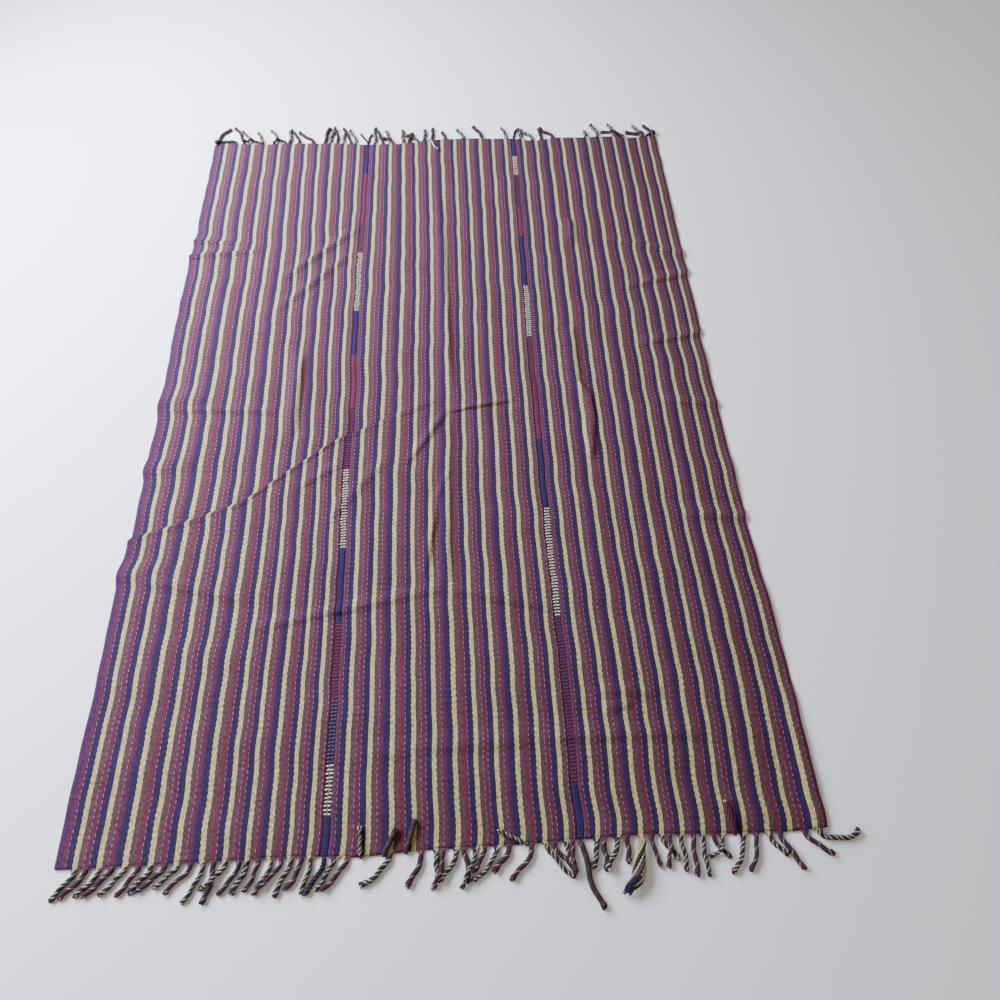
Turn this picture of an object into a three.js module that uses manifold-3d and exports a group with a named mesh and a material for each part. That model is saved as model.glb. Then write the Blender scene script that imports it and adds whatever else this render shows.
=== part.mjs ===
// A striped throw blanket laid out on the floor: three woven panels side by side, joined along their
// selvages by two bands of hand stitching, with a fringe of twisted cords at both ends.
// Millimetres, +X across the blanket, +Y along it to its far end, +Z up, the floor at z = 0.

import * as THREE from 'three';
import { mergeVertices } from 'three/addons/utils/BufferGeometryUtils.js';
import Module from 'manifold-3d';

const wasm = await Module();
wasm.setup();

// Driving dimensions
const WIDTH = 1500;
const LENGTH = 2170;
const THICKNESS = 2;
const GAP = 0.3; // air between neighbouring pieces
const SEAM_WIDTH = 14;
const SEAM_THICKNESS = 3.4; // the joining stitches stand proud of the cloth
const STRIP = 8; // depth of the end strip that the cords grow out of
const CORD_WIDTH = 8.4;
const CORD_HEIGHT = 7;
const ROOT_WIDTH = 14; // the gathered threads fan out to this at the cloth
const ROOT_HEIGHT = 2.6;
const ROOT_INSET = 3.5; // how far a cord's root reaches into its strip
const TAIL_ROOT = 12; // the same fan, where a seam's tail starts
const NECK = 8; // from the cloth's edge to where the gathered threads are a cord
const CORD_STEPS = 3;

const table = (columns, rows) =>
  rows.map((row) => Object.fromEntries(columns.map((column, i) => [column, row[i]])));

// The seams that join the loom widths, and the panels between them
const SEAMS = table(['name', 'x'], [
  ['left', -238],
  ['right', 258],
]);
const BESIDE = SEAM_WIDTH / 2 + GAP; // from a seam's middle to the panels at its sides
const PANELS = table(['name', 'from', 'to', 'cells', 'color'], [
  ['left', -WIDTH / 2, SEAMS[0].x - BESIDE, 12, '#85646f'],
  ['middle', SEAMS[0].x + BESIDE, SEAMS[1].x - BESIDE, 11, '#80606a'],
  ['right', SEAMS[1].x + BESIDE, WIDTH / 2, 8, '#7a5a63'],
]);
const SEAM_COLOR = '#3a2f6e';
const FRINGE_COLOR = '#6a5652';

// The outline is uneven: each edge lies this far out from a straight one, at stations along it
const TOP_EDGE = table(['x', 'out'], [
  [-750, 0], [-700, 12], [-640, 0], [-400, 2], [-210, -9], [-110, -9],
  [-40, 6], [60, 14], [240, 13], [330, -3], [400, 11], [600, 11], [660, 3], [750, 4],
]);
const BOTTOM_EDGE = table(['x', 'out'], [
  [-750, -2], [-280, -2], [-170, 5], [-60, -1], [150, -2],
  [300, -6], [400, -8], [570, 0], [680, 1], [750, -3],
]);
const LEFT_EDGE = table(['y', 'out'], [
  [-1085, 0], [-600, -2], [-360, -6], [-280, -4], [-100, -8], [60, -7], [300, 0], [600, -3], [1085, 0],
]);
const RIGHT_EDGE = table(['y', 'out'], [
  [-1085, 0], [-1056, 5], [-1000, 0], [-800, 2], [-600, -4], [-400, -12], [-100, -14], [160, -15],
  [300, -9], [550, -9], [830, -5], [1085, -4],
]);

// The main fold rises from the left side and dies out past the left seam. Its near side is the steep one.
// Just beyond its crest the cloth has slid sideways, by this much in all
const MAIN_FOLD = table(['x', 'y', 'height', 'slide'], [
  [-765, -394, 9, 9], [-590, -337, 10, 10], [-493, -301, 11, 10], [-384, -211, 10, 10],
  [-275, -127, 8, 8], [-141, -60, 4, 3], [-92, -36, 0, 0],
]);
const MAIN_FOLD_NEAR = 9;
const MAIN_FOLD_FAR = 130;
const SLIDE_BAND = 9; // the cloth slides within this distance beyond the crest
const SLIDE_REACH = 350; // and the slide dies out this far from it, both ways

// Smaller folds and creases: a soft ridge along a straight line, this high and this wide each way
const CREASES = table(['x0', 'y0', 'x1', 'y1', 'height', 'half'], [
  [-765, 627, -575, 600, 10, 28],
  [-765, 557, -555, 575, 11, 30],
  [-790, 0, -640, 20, 8, 70],
  [-790, -203, -660, -180, 7, 70],
  [-384, 409, -250, 656, 8, 48],
  [-381, 150, -386, -75, 9, 30],
  [17, 1000, 17, 240, 5, 26],
  [17, -229, 10, -578, 6, 26],
  [23, -36, -80, -205, 8, 34],
  [387, 130, 398, -180, 6, 34],
  [418, 670, 416, 585, 6, 36],
  [775, 560, 690, 545, 7, 40],
  [775, 165, 690, 180, 8, 44],
  [775, -45, 700, -40, 6, 40],
]);

// The cords of each end, by their roots: the lean from straight out, towards +X, the further turn along
// the cord, both in degrees, and the free length
const CORD_COLUMNS = ['x', 'lean', 'turn', 'length'];
const CORDS = {
  bottom: table(CORD_COLUMNS, [
    [-709, -36, -8, 62], [-686, -44, -4, 64], [-661, -40, -8, 60], [-638, -46, -4, 66], [-613, -42, -6, 62],
    [-588, -38, 0, 60], [-565, -44, 0, 57], [-538, -48, -8, 63], [-513, -51, 0, 58], [-490, -50, 2, 66],
    [-470, -2, -46, 74], [-448, 6, -30, 70], [-425, -24, -42, 64], [-401, -12, -42, 66], [-384, -18, -18, 60],
    [-361, -18, -12, 58], [-339, -20, -18, 66], [-319, -20, -44, 66], [-301, -24, -6, 68],
    [-280, -2, -48, 60], [-264, -4, -22, 62], [-218, -22, -20, 62], [-192, -34, -18, 70],
    [-110, -34, -30, 76], [-51, -14, -26, 64], [-24, 4, 0, 48], [-8, -8, -18, 68], [18, -26, -20, 64],
    [30, 28, -34, 56], [51, -12, -24, 72], [71, -22, -16, 46], [98, -30, -26, 78], [119, -34, -16, 52],
    [163, -28, -26, 74], [188, 34, 16, 80], [205, 40, 6, 66], [227, 15, 0, 38], [240, 0, 0, 54],
    [292, -10, -8, 50], [305, 4, -6, 54],
    [332, -20, -18, 60], [350, 4, -10, 44], [400, -8, 36, 56], [418, 30, 14, 52], [433, -4, -14, 57],
    [456, 10, -12, 63], [480, -4, 4, 70], [498, -2, 4, 70], [517, 28, 18, 50], [539, 0, -80, 56],
    [582, -14, -26, 74], [607, -6, -28, 68], [631, 22, 34, 48], [652, 30, 2, 73], [702, 38, 26, 64],
    [728, 56, 66, 92],
  ]),
  top: table(CORD_COLUMNS, [
    [-740, -6, 54, 92], [-676, -72, -50, 74], [-650, -18, -14, 98], [-628, -10, -40, 78],
    [-594, -48, -74, 68], [-588, -14, -14, 66], [-537, -10, -24, 78], [-510, -42, -84, 54],
    [-503, 14, -30, 70], [-470, -2, -44, 74], [-420, -48, -2, 78], [-383, 0, 14, 80], [-362, 4, 6, 74],
    [-340, -2, -14, 82], [-318, 2, -2, 74], [-292, -14, -16, 78], [-277, -14, -14, 78], [-214, -2, -2, 80],
    [-186, -8, -20, 82], [-163, -2, -22, 66], [-148, -42, -20, 46], [-118, -2, -2, 68], [-98, 16, 0, 50],
    [-66, -40, -22, 52], [-46, 2, 4, 56], [-20, 2, 2, 62], [25, -16, -6, 38], [88, -24, -12, 52],
    [150, -18, -16, 66], [236, -12, -8, 54], [285, 2, -14, 44], [326, -24, -40, 62], [353, 2, -14, 56],
    [396, -40, -22, 60], [513, -30, 40, 26], [552, -10, -16, 66], [606, -2, -14, 66], [620, -46, -40, 62],
    [644, -48, -34, 48], [703, -20, -8, 66], [710, -66, -18, 66], [719, 56, 4, 40], [741, 0, -46, 66],
  ]),
};

// Cords that don't lie as their neighbours do: a few are folded back over the cloth, to reach this far
// from its edge and this far sideways, and one has come untwisted into a thick lock
const FOLDED_BACK = table(['end', 'x', 'reach', 'aside', 'width'], [
  ['bottom', -167, 50, -4, 8],
  ['bottom', -124, 40, 22, 8],
  ['bottom', -81, 52, 16, 8],
  ['bottom', 152, 26, -52, 8],
  ['bottom', 562, 54, -6, 12],
  ['top', -30, 58, 30, 8],
]);
const LOCKS = table(['end', 'x', 'lean', 'turn', 'length', 'width'], [
  ['bottom', 380, -16, -30, 104, 15],
]);
// The joining yarn of each seam runs on past the cloth as tails
const SEAM_TAILS = table(['seam', 'end', 'lean', 'turn', 'length', 'width'], [
  ['left', 'bottom', -14, -34, 70, 11],
  ['left', 'top', -24, -10, 62, 8],
  ['left', 'top', 8, 8, 54, 8],
  ['right', 'bottom', 3, 22, 120, 10],
  ['right', 'top', 4, 30, 60, 8],
]);

const OUTWARD = { bottom: -1, top: 1 };
const radians = THREE.MathUtils.degToRad;
const mix = THREE.MathUtils.lerp;

// A column of a table at a place between two of its rows, which run in rising order of the key
function between(rows, key, place, column) {
  const last = rows.length - 1;
  const next = Math.min(Math.max(rows.findIndex((row) => row[key] > place), 1), last);
  const i = place >= rows[last][key] ? last : next;
  const share = (place - rows[i - 1][key]) / (rows[i][key] - rows[i - 1][key]);
  return mix(rows[i - 1][column], rows[i][column], THREE.MathUtils.clamp(share, 0, 1));
}

// The rounded cross-section of a fold: 1 on its crest, falling smoothly to 0 at a distance of 1
const roundTop = (distance) => (Math.abs(distance) < 1 ? (1 - distance * distance) ** 2 : 0);

const foldLine = (x) => between(MAIN_FOLD, 'x', x, 'y');

function creaseHeight(crease, x, y) {
  const alongX = crease.x1 - crease.x0;
  const alongY = crease.y1 - crease.y0;
  const share = ((x - crease.x0) * alongX + (y - crease.y0) * alongY) / (alongX ** 2 + alongY ** 2);
  const nearest = THREE.MathUtils.clamp(share, 0, 1);
  const away = Math.hypot(x - crease.x0 - nearest * alongX, y - crease.y0 - nearest * alongY);
  return crease.height * roundTop(away / crease.half);
}

// How high the cloth's underside stands over the floor
function lift(x, y) {
  const past = y - foldLine(x);
  const side = past < 0 ? MAIN_FOLD_NEAR : MAIN_FOLD_FAR;
  const fold = between(MAIN_FOLD, 'x', x, 'height') * roundTop(past / side);
  return Math.max(fold, ...CREASES.map((crease) => creaseHeight(crease, x, y)));
}

// How far the main fold has moved the cloth to the right: half of the slide beyond the band, and the
// other half, to the left, below the crest
function slide(x, y) {
  const past = y - foldLine(x);
  const share = THREE.MathUtils.clamp(past / SLIDE_BAND, 0, 1) - 0.5;
  return between(MAIN_FOLD, 'x', x, 'slide') * share * roundTop(past / SLIDE_REACH);
}

// Where a point of the flat, straight-edged cloth lies once its edges wander and the main fold slides
function laid(x, y) {
  const across = x / WIDTH + 0.5;
  const along = (2 * y) / LENGTH;
  const wander = mix(-between(LEFT_EDGE, 'y', y, 'out'), between(RIGHT_EDGE, 'y', y, 'out'), across);
  const end = along > 0 ? between(TOP_EDGE, 'x', x, 'out') : -between(BOTTOM_EDGE, 'x', x, 'out');
  return [x + wander + slide(x, y), y + end * Math.abs(along) ** 3];
}

const evenly = (from, to, cells) => Array.from({ length: cells + 1 }, (_, i) => mix(from, to, i / cells));

// The cloth's rows of points at one place across: close together along the main fold and the two
// short folds at the left side, and wider apart elsewhere
const FOLD_OFFSETS = [-60, -9, -6, -3, 0, 9, 40, 80, 130]; // from the main fold's crest
const SHORT_FOLDS = [496, 676]; // from and to, along the blanket
const ROW_CELLS = { nearEnd: 14, pastMainFold: 9, shortFolds: 6, farEnd: 8 };
const PANEL_END = LENGTH / 2 - STRIP - GAP;
function panelRows(x) {
  const folded = FOLD_OFFSETS.map((offset) => foldLine(x) + offset);
  return [
    ...evenly(-PANEL_END, folded.at(0), ROW_CELLS.nearEnd),
    ...folded.slice(1, -1),
    ...evenly(folded.at(-1), SHORT_FOLDS[0], ROW_CELLS.pastMainFold),
    ...evenly(...SHORT_FOLDS, ROW_CELLS.shortFolds).slice(1),
    ...evenly(SHORT_FOLDS[1], PANEL_END, ROW_CELLS.farEnd).slice(1),
  ];
}
const seamRows = (x) => [-LENGTH / 2, ...panelRows(x), LENGTH / 2];

// A plain box cut into cells, as a closed mesh with shared points, each moved by place(i, j, k), where
// i, j and k count the cells along X, Y and Z
function shapedBox(cellsX, cellsY, cellsZ, place) {
  const box = new THREE.BoxGeometry(cellsX, cellsY, cellsZ, cellsX, cellsY, cellsZ);
  box.deleteAttribute('normal');
  box.deleteAttribute('uv');
  const geometry = mergeVertices(box);
  const points = geometry.getAttribute('position');
  for (let n = 0; n < points.count; n++) {
    const i = Math.round(points.getX(n) + cellsX / 2);
    const j = Math.round(points.getY(n) + cellsY / 2);
    const k = Math.round(points.getZ(n) + cellsZ / 2);
    points.setXYZ(n, ...place(i, j, k));
  }
  return geometry;
}

// A strip of cloth over the given columns, its rows set out by rowsOf(x)
function cloth(columns, rowsOf, thickness) {
  const rowCells = rowsOf(columns[0]).length - 1;
  return shapedBox(columns.length - 1, rowCells, 1, (i, j, k) => {
    const x = columns[i];
    const y = rowsOf(x)[j];
    return [...laid(x, y), lift(x, y) + k * thickness];
  });
}

// A four-sided strand through its rings, each with a middle, a heading, a width, a foot and a top
function strand(rings, outward) {
  return shapedBox(1, 1, rings.length - 1, (i, j, k) => {
    const { x, y, heading, width, foot, top } = rings[k];
    const aside = (i - 0.5) * width;
    return [
      x - aside * outward * Math.cos(heading),
      y + aside * Math.sin(heading),
      j === 0 ? foot : top,
    ];
  });
}

// A cord that lies on the floor: a fan of threads at the cloth's edge, gathered into an even cord
function cordRings(x, outward, { lean, turn, length, width, root = ROOT_WIDTH }) {
  const edge = laid(x, (outward * LENGTH) / 2);
  const rings = [
    { x: edge[0], y: edge[1] - outward * ROOT_INSET, heading: 0, width: root, foot: 0, top: ROOT_HEIGHT },
  ];
  const start = radians(lean);
  let place = { x: edge[0] + NECK * Math.sin(start / 2), y: edge[1] + outward * NECK * Math.cos(start / 2) };
  for (let step = 0; step <= CORD_STEPS; step++) {
    const heading = start + radians(turn) * (step / CORD_STEPS);
    rings.push({ ...place, heading, width, foot: 0, top: CORD_HEIGHT });
    const run = (length - NECK) / CORD_STEPS;
    place = { x: place.x + run * Math.sin(heading), y: place.y + outward * run * Math.cos(heading) };
  }
  return rings;
}

// A cord folded back at its root, lying on top of the cloth
const FOLD_OUT = 3; // the fold's own reach past the cloth's edge
const FOLD_IN = 1; // from the strip's two sides to the bends of a folded cord
const ON_CLOTH = THICKNESS + 2 * GAP; // the underside of a cord that lies on the cloth
const FOLDED_FEET = [0.5, 1.4]; // the same where it turns back, before and after the cloth's edge
const FOLDED_TOPS = { turn: 5.8, edge: 6.8, middle: 7.4, tip: 6.8 };
function foldedRings(x, outward, { reach, aside, width }) {
  const edge = laid(x, (outward * LENGTH) / 2);
  const heading = Math.PI + Math.atan2(-aside, reach);
  const ring = (back, foot, top) => ({
    x: edge[0] + (aside * Math.max(back, 0)) / reach,
    y: edge[1] - outward * back,
    heading,
    width,
    foot,
    top,
  });
  return [
    ring(-FOLD_OUT, FOLDED_FEET[0], FOLDED_TOPS.turn),
    ring(FOLD_IN, FOLDED_FEET[1], FOLDED_TOPS.edge),
    ring(STRIP - FOLD_IN, ON_CLOTH, FOLDED_TOPS.middle),
    ring(reach / 2, ON_CLOTH, FOLDED_TOPS.middle),
    ring(reach, ON_CLOTH, FOLDED_TOPS.tip),
  ];
}

function asManifold(geometry) {
  const vertProperties = geometry.getAttribute('position').array;
  const triVerts = new Uint32Array(geometry.getIndex().array);
  return new wasm.Manifold(new wasm.Mesh({ numProp: 3, vertProperties, triVerts }));
}

function joined(geometries) {
  const whole = geometries.map(asManifold).reduce((sum, piece) => sum.add(piece)).getMesh();
  const geometry = new THREE.BufferGeometry();
  geometry.setAttribute('position', new THREE.BufferAttribute(whole.vertProperties, 3));
  geometry.setIndex(new THREE.BufferAttribute(whole.triVerts, 1));
  return geometry;
}

function mesh(name, geometry, color) {
  geometry.computeVertexNormals();
  const material = new THREE.MeshStandardMaterial({ color, roughness: 0.95, metalness: 0 });
  const result = new THREE.Mesh(geometry, material);
  result.name = name;
  return result;
}

const columnsOf = (panel) => evenly(panel.from, panel.to, panel.cells);

const panelMesh = (panel) =>
  mesh(`panel_${panel.name}`, cloth(columnsOf(panel), panelRows, THICKNESS), panel.color);

function seamMesh(seam) {
  const columns = [seam.x - SEAM_WIDTH / 2, seam.x + SEAM_WIDTH / 2];
  const band = cloth(columns, seamRows, SEAM_THICKNESS);
  const tails = SEAM_TAILS.filter((tail) => tail.seam === seam.name).map((tail) => {
    const outward = OUTWARD[tail.end];
    return strand(cordRings(seam.x, outward, { ...tail, root: TAIL_ROOT }), outward);
  });
  return mesh(`seam_${seam.name}`, joined([band, ...tails]), SEAM_COLOR);
}

// The cords of one end whose roots lie on a panel
function cordsOf(end, panel) {
  const outward = OUTWARD[end];
  const onPanel = (row) => row.x > panel.from && row.x < panel.to;
  const atEnd = (row) => row.end === end && onPanel(row);
  const plain = CORDS[end].filter(onPanel).map((row) => ({ ...row, width: CORD_WIDTH }));
  const lying = [...plain, ...LOCKS.filter(atEnd)].map((row) => cordRings(row.x, outward, row));
  const folded = FOLDED_BACK.filter(atEnd).map((row) => foldedRings(row.x, outward, row));
  return [...lying, ...folded].map((rings) => strand(rings, outward));
}

function fringeMesh(end, panel) {
  const outer = (OUTWARD[end] * LENGTH) / 2;
  const inner = outer - OUTWARD[end] * STRIP;
  const rows = [Math.min(inner, outer), Math.max(inner, outer)];
  const strip = cloth(columnsOf(panel), () => rows, THICKNESS);
  return mesh(`fringe_${end}_${panel.name}`, joined([strip, ...cordsOf(end, panel)]), FRINGE_COLOR);
}

const blanket = new THREE.Group();
blanket.add(...PANELS.map(panelMesh), ...SEAMS.map(seamMesh));
for (const end of ['top', 'bottom']) blanket.add(...PANELS.map((panel) => fringeMesh(end, panel)));

// The origin is on the floor, under the middle of the whole blanket, fringe included
const middle = new THREE.Box3().setFromObject(blanket).getCenter(new THREE.Vector3());
blanket.position.set(-middle.x, -middle.y, 0);

export default blanket;
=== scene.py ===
import math
from collections import namedtuple

import bpy
import numpy as np
from mathutils import Matrix, Quaternion, Vector


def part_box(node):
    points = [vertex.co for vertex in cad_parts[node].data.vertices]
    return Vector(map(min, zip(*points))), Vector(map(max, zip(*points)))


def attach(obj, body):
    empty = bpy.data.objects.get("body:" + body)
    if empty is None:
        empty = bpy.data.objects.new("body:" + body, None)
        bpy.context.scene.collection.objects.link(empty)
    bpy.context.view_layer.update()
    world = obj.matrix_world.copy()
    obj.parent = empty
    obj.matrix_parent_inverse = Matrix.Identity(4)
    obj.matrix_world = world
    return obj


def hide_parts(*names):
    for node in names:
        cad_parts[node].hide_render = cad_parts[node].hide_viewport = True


# A striped throw blanket laid on a pale floor. Lengths are in millimetres until a mesh is made, measured
# on the flat cloth: x across it and y along it to its far end, from the middle of the cloth.

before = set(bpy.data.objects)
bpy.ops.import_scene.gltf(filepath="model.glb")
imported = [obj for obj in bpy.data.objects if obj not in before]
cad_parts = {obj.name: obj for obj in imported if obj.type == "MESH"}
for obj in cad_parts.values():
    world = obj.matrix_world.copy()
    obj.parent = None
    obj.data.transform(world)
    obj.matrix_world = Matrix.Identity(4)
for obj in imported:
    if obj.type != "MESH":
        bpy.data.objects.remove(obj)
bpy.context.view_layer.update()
MM = 0.001

WIDTH = 1500
LENGTH = 2170
THICKNESS = 2
SEAM_WIDTH = 14
SEAMS = {"left": -238, "right": 258}
SEAM_GAP = 0.3
BESIDE_SEAM = SEAM_WIDTH / 2 + SEAM_GAP
# each panel's two sides, then the middles of its first and last cream stripe
PANELS = {
    "left": (-WIDTH / 2, SEAMS["left"] - BESIDE_SEAM, -711, -268),
    "middle": (SEAMS["left"] + BESIDE_SEAM, SEAMS["right"] - BESIDE_SEAM, -204, 230),
    "right": (SEAMS["right"] + BESIDE_SEAM, WIDTH / 2, 292, 724),
}
CREAMS = 11
# The stripes aren't evenly spread: those in a panel's broad middle have drifted to the right. For each panel,
# the share of the way across where they have drifted most, then places along the cloth and the drift there
STRIPE_DRIFT = {
    "left": (0.6, [(-1085, 17), (-800, 13), (-350, 22), (100, 18), (550, 16), (850, 5), (1085, 2)]),
    "middle": (0.35, [(-1085, 7), (-800, 3), (-345, 1), (0, 7), (400, 11), (700, 7), (1085, 0)]),
    "right": (0.7, [(-1085, -10), (-800, -1), (-345, 4), (100, 10), (700, 11), (1085, 10)]),
}
DRIFT_POWER = 3  # the higher, the sooner the drift dies out towards a panel's sides
OUTWARD = {"bottom": -1, "top": 1}  # the way out along the cloth, at each end

# How far out from a straight edge each edge lies, at stations along it
TOP_EDGE = [
    (-750, 0), (-700, 12), (-640, 0), (-400, 2), (-210, -9), (-110, -9), (-40, 6),
    (60, 14), (240, 13), (330, -3), (400, 11), (600, 11), (660, 3), (750, 4),
]
BOTTOM_EDGE = [
    (-750, -2), (-280, -2), (-170, 5), (-60, -1), (150, -2),
    (300, -6), (400, -8), (570, 0), (680, 1), (750, -3),
]
LEFT_EDGE = [
    (-1085, 0), (-600, -2), (-360, -6), (-280, -4), (-100, -8), (60, -7), (300, 0), (600, -3), (1085, 0),
]
RIGHT_EDGE = [
    (-1085, 0), (-1056, 5), (-1000, 0), (-800, 2), (-600, -4), (-400, -12), (-100, -14), (160, -15),
    (300, -9), (550, -9), (830, -5), (1085, -4),
]
CORNER_EASE = 14  # the corners of these tables are rounded over this length
END_POWER = 3  # an end's line dies out towards the middle of the cloth by this power of the distance from it

# The main fold, by its crest: place, height and slide. It climbs gently from its far side and drops on
# its near side. Just beyond the crest the cloth has slid sideways
MAIN_FOLD = [
    (-765, -394, 1.5, 9), (-590, -337, 1.7, 10), (-493, -301, 2, 10), (-384, -211, 2.6, 10),
    (-275, -127, 2.4, 8), (-200, -92, 1.6, 5), (-141, -60, 0.8, 3), (-92, -36, 0, 0),
]
MAIN_NEAR = 15
MAIN_FAR = 130
SLIDE_BAND = 9  # the cloth slides within this distance beyond a crest
SLIDE_REACH = 350  # and the slide dies out this far from it, both ways

# Smaller folds and creases: a crest from (x0, y0) to (x1, y1), its height, its width on the left-hand
# side and on the right-hand side, going along it, and how far the cloth slides over it
CREASES = [
    (-900, 640, -565, 600, 6, 44, 16, 5),
    (-900, 545, -540, 577, 7, 48, 17, 7),
    (-900, 0, -600, 22, 5, 60, 30, 0),
    (-900, -210, -620, -178, 5, 60, 30, 0),
    (-900, -490, -640, -470, 4, 50, 30, 0),
    (-760, -8, -410, -28, 4, 28, 11, 0),
    (-470, 448, -245, 672, 6, 34, 20, 4),
    (-475, 325, -255, 566, 5, 34, 20, 3),
    (-394, -110, -383, 180, 10, 38, 17, 0),
    (-285, -360, -130, -180, 3.5, 32, 18, 2),
    (-360, -262, -250, -196, 4, 26, 12, 0),
    (-140, -62, -10, -2, 2.5, 26, 14, 0),
    (32, 20, 2, 850, 7, 32, 13, 0),
    (18, -270, 26, -50, 3, 24, 10, 0),
    (10, -550, 20, -210, 5.5, 32, 11, 0),
    (-90, -205, 26, -30, 5.5, 22, 7, 0),
    (12, -44, 200, -12, 5, 22, 8, 0),
    (-42, -510, -8, -300, 6, 20, 7, 0),
    (-12, -318, 26, -215, 6, 20, 7, 0),
    (390, -205, 408, -75, 7, 30, 10, 0),
    (408, -110, 405, 20, 7, 30, 10, 0),
    (412, -12, 362, 72, 7, 30, 10, 0),
    (380, 40, 380, 250, 6, 34, 14, 0),
    (416, 565, 418, 690, 6, 32, 13, 0),
    (495, 598, 900, 470, 6, 38, 14, 3),
    (529, 380, 900, 473, 6, 38, 14, 3),
    (558, 168, 900, 228, 6, 38, 14, 3),
    (580, -22, 900, -76, 5, 38, 16, 2),
    (575, -372, 900, -404, 6, 38, 14, 3),
    (-730, -487, -430, -558, 4, 28, 12, 0),
    (-440, -624, 24, -540, 5, 28, 12, 0),
    (-10, -541, 260, -608, 6, 28, 11, 0),
    (-190, -902, 210, -888, 4, 38, 17, 0),
    (180, -886, 550, -897, 5, 38, 15, 0),
    (310, -798, 470, -808, 5, 30, 14, 0),
    (330, -838, 400, -826, 5, 22, 11, 0),
    (738, -1150, 741, -800, 6, 34, 15, 0),
]
CREASE_SLIDE_REACH = 110
CREASE_FADE = 4  # a crease dies out at both ends by this power of the distance from its middle

# The left side bulges where creases meet it: place along and distance out, over this length each way
# along the side, dying out this far from it
LEFT_BULGES = [(-3, 5), (-194, 5), (-479, 4)]
BULGE_HALF = 40
BULGE_REACH = 220

# Slow waves of the whole cloth, up and down and to the sides: size, wavelength, direction in degrees, start
RIPPLES = [(1.0, 310, 65, 0.0), (0.8, 190, 100, 1.9), (0.7, 137, 20, 4.1), (0.5, 83, 80, 2.6)]
RIPPLE_BASE = sum(row[0] for row in RIPPLES)  # keeps the lowest hollow from sinking into the floor
SWAYS = [(0.6, 173, 82, 0.7), (0.4, 118, 101, 3.0), (0.35, 79, 74, 5.2)]


def at(table, place, column=1, ease=0):
    """A column of a table between its rows, with its corners rounded over this length."""
    keys = [row[0] for row in table]
    values = [row[column] for row in table]
    steps = (-1, -0.5, 0, 0.5, 1)
    return np.mean([np.interp(place + step * ease, keys, values) for step in steps], axis=0)


def round_top(away):
    """A fold's rounded section: 1 on its crest, 0 from a distance of 1."""
    return (1 - np.minimum(away * away, 1)) ** 2


def slid(past, reach):
    """How the cloth has slid at a distance past a crest: half to the right beyond the band, and half to
    the left before it."""
    return (np.clip(past / SLIDE_BAND, 0, 1) - 0.5) * round_top(past / reach)


def waves(rows, x, y):
    """The sum of these slow waves at each place."""
    total = 0
    for size, wavelength, degrees, start in rows:
        way = x * math.cos(math.radians(degrees)) + y * math.sin(math.radians(degrees))
        total = total + size * np.sin(2 * math.pi * way / wavelength + start)
    return total


def folds(x, y):
    """The cloth's height over the floor, and how far its folds have moved it across."""
    past = y - at(MAIN_FOLD, x)
    crest = at(MAIN_FOLD, x, 2)
    height = crest * round_top(past / np.where(past < 0, MAIN_NEAR, MAIN_FAR))
    moved = at(MAIN_FOLD, x, 3) * slid(past, SLIDE_REACH)
    for place, out in LEFT_BULGES:
        moved = moved - out * round_top((y - place) / BULGE_HALF) * round_top((x + WIDTH / 2) / BULGE_REACH)
    for x0, y0, x1, y1, top, left, right, slide in CREASES:
        run = math.hypot(x1 - x0, y1 - y0)
        ux, uy = (x1 - x0) / run, (y1 - y0) / run
        along = np.clip(((x - x0) * ux + (y - y0) * uy) / run, 0, 1)
        side = (y - y0) * ux - (x - x0) * uy
        away = np.hypot(x - x0 - along * run * ux, y - y0 - along * run * uy)
        fade = 1 - (2 * along - 1) ** CREASE_FADE
        height = np.maximum(height, top * fade * round_top(away / np.where(side > 0, left, right)))
        moved = moved + slide * fade * slid(side, CREASE_SLIDE_REACH)
    return height + RIPPLE_BASE + waves(RIPPLES, x, y), moved + waves(SWAYS, x, y)


def lying(x, y):
    """Where points of the flat cloth lie: the underside's x, y and height, in the cloth's own frame."""
    x, y = np.broadcast_arrays(np.asarray(x, float), np.asarray(y, float))
    height, moved = folds(x, y)
    across = x / WIDTH + 0.5
    along = 2 * y / LENGTH
    left = at(LEFT_EDGE, y, ease=CORNER_EASE)
    right = at(RIGHT_EDGE, y, ease=CORNER_EASE)
    top = at(TOP_EDGE, x, ease=CORNER_EASE)
    bottom = at(BOTTOM_EDGE, x, ease=CORNER_EASE)
    end = np.where(along > 0, top, -bottom)
    wander = right * across - left * (1 - across)
    return np.stack([x + moved + wander, y + end * np.abs(along) ** END_POWER, height], -1)


END_STRIP = 8.3  # the panels' solids end this far before the cloth does, where the fringes' strips start
STATIONS = 400  # the places looked at along each side of the middle panel


def frame_offset():
    """From the cloth's own frame to the row frame, by the box of the middle panel's solid."""
    low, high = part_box("panel_middle")
    first, last, _, _ = PANELS["middle"]
    span = np.linspace(0, 1, STATIONS)
    x = first + (last - first) * span
    y = (2 * span - 1) * (LENGTH / 2 - END_STRIP)
    sides = np.concatenate([lying(first, y), lying(last, y), lying(x, y[0]), lying(x, y[-1])])
    middle = (sides.min(0) + sides.max(0)) / 2
    return np.array([(low.x + high.x) / 2 - middle[0] * MM, (low.y + high.y) / 2 - middle[1] * MM, 0])


OFFSET = frame_offset()


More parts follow.
